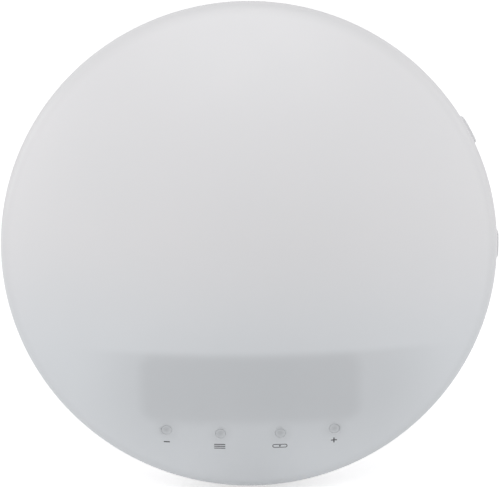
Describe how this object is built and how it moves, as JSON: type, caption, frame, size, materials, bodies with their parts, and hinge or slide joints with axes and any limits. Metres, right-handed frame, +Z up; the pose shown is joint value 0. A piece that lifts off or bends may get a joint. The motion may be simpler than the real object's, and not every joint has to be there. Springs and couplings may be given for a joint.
{
  "type": "sunrise alarm clock",
  "caption": "Round bedside wake-up light with a frosted domed front, a clock display and keys behind and in it, flank push buttons and a level foot.",
  "frame": {"origin": "on the table, under the middle of the lamp's width and depth", "axes": "+Z up, -Y the way the frosted face looks, +X to the right of someone looking at the face, the side with the flank buttons"},
  "size_m": [0.2512, 0.1388, 0.2514],
  "materials": {
    "aluminium": "milled",
    "basket_steel": "black",
    "black_rubber": "matt",
    "chip_black": "moulded",
    "circuit_board": "solder mask",
    "cone_paper": "pressed paper",
    "contact_metal": "nickel plated",
    "dark_plastic": "matt",
    "film_plastic": "frosted translucent",
    "foam_white": "closed-cell foam",
    "frosted_plastic": "satin frosted translucent polycarbonate",
    "grey_plastic": "matt",
    "key_plastic": "satin",
    "lead_black": "insulated wire",
    "lead_red": "insulated wire",
    "led_yellow": "phosphor",
    "magnet_ferrite": "ferrite",
    "plunger_white": "moulded",
    "reflector_white": "glossy white",
    "ribbon_grey": "flat cable",
    "screw_steel": "zinc plated",
    "segment_amber": "unlit amber",
    "smoked_window": "smoked acrylic",
    "switch_body": "moulded",
    "white_board": "white solder mask on aluminium",
    "white_plastic": "fine satin texture"
  },
  "bodies": {
    "lamp": {"base_plate": "white_plastic", "base_screws": "screw_steel", "board_parts": "chip_black", "board_screws": "screw_steel", "dc_contact": "contact_metal", "dc_socket": "dark_plastic", "diffusing_film": "film_plastic", "digit_segments": "segment_amber", "display_board": "circuit_board", "display_carrier": "white_plastic", "display_frame": "dark_plastic", "display_module": "grey_plastic", "display_ribbon": "ribbon_grey", "display_window": "smoked_window", "flank_boards": "circuit_board", "flank_switches": "switch_body", "front_diffuser": "frosted_plastic", "heat_spreader": "aluminium", "housing_screws": "screw_steel", "key_board": "circuit_board", "key_switches": "switch_body", "led_board": "white_board", "leds": "led_yellow", "light_button_lead": "lead_black", "light_lead": "lead_red", "light_seal": "foam_white", "main_board": "circuit_board", "rear_housing": "white_plastic", "reflector": "reflector_white", "rubber_feet": "black_rubber", "sound_button_lead": "lead_black", "speaker_cone": "cone_paper", "speaker_dust_cap": "cone_paper", "speaker_frame": "basket_steel", "speaker_lead": "lead_black", "speaker_magnet": "magnet_ferrite", "speaker_surround": "black_rubber"},
    "minus_key_body": {"minus_key": "key_plastic", "minus_plunger": "plunger_white"},
    "menu_key_body": {"menu_key": "key_plastic", "menu_plunger": "plunger_white"},
    "select_key_body": {"select_key": "key_plastic", "select_plunger": "plunger_white"},
    "plus_key_body": {"plus_key": "key_plastic", "plus_plunger": "plunger_white"},
    "light_button_body": {"light_button": "white_plastic", "light_button_plunger": "plunger_white"},
    "sound_button_body": {"sound_button": "white_plastic", "sound_button_plunger": "plunger_white"}
  },
  "joints": [
    {"name": "minus_key_press", "type": "slide", "parent": "lamp", "child": "minus_key_body", "axis": [0, 0.9945, -0.1045], "range_m": [0, 0.0006], "stiffness_N_per_m": 2600},
    {"name": "menu_key_press", "type": "slide", "parent": "lamp", "child": "menu_key_body", "axis": [0, 0.9945, -0.1045], "range_m": [0, 0.0006], "stiffness_N_per_m": 2600},
    {"name": "select_key_press", "type": "slide", "parent": "lamp", "child": "select_key_body", "axis": [0, 0.9945, -0.1045], "range_m": [0, 0.0006], "stiffness_N_per_m": 2600},
    {"name": "plus_key_press", "type": "slide", "parent": "lamp", "child": "plus_key_body", "axis": [0, 0.9945, -0.1045], "range_m": [0, 0.0006], "stiffness_N_per_m": 2600},
    {"name": "light_button_press", "type": "slide", "parent": "lamp", "child": "light_button_body", "axis": [-0.8829, -0.0491, -0.4669], "range_m": [0, 0.0008], "stiffness_N_per_m": 2600},
    {"name": "sound_button_press", "type": "slide", "parent": "lamp", "child": "sound_button_body", "axis": [-1, 0, 0], "range_m": [0, 0.0008], "stiffness_N_per_m": 2600}
  ]
}
